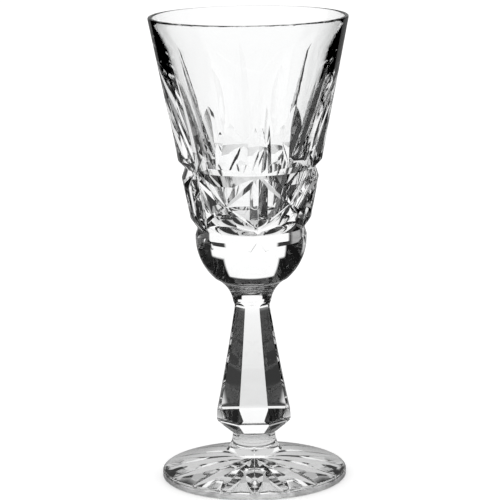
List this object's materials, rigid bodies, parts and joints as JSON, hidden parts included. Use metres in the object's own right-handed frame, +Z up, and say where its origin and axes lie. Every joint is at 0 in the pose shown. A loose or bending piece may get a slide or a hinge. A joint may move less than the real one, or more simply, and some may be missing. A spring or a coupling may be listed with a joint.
{
  "type": "sherry glass",
  "caption": "Small stemmed drinking glass in clear cut crystal, with a conical wheel-cut bowl, a faceted baluster stem and a star-cut foot.",
  "frame": {"origin": "on the table, at the centre of the foot's underside", "axes": "+Z up along the axis of the glass; the glass faces -Y"},
  "size_m": [0.055, 0.055, 0.13],
  "materials": {
    "bowl_crystal": "polished clear crystal, wheel cut",
    "stem_crystal": "polished clear crystal, cut flats",
    "foot_crystal": "polished clear crystal, star cut underneath"
  },
  "bodies": {
    "root": {"bowl": "bowl_crystal", "stem": "stem_crystal", "foot": "foot_crystal"}
  },
  "joints": []
}
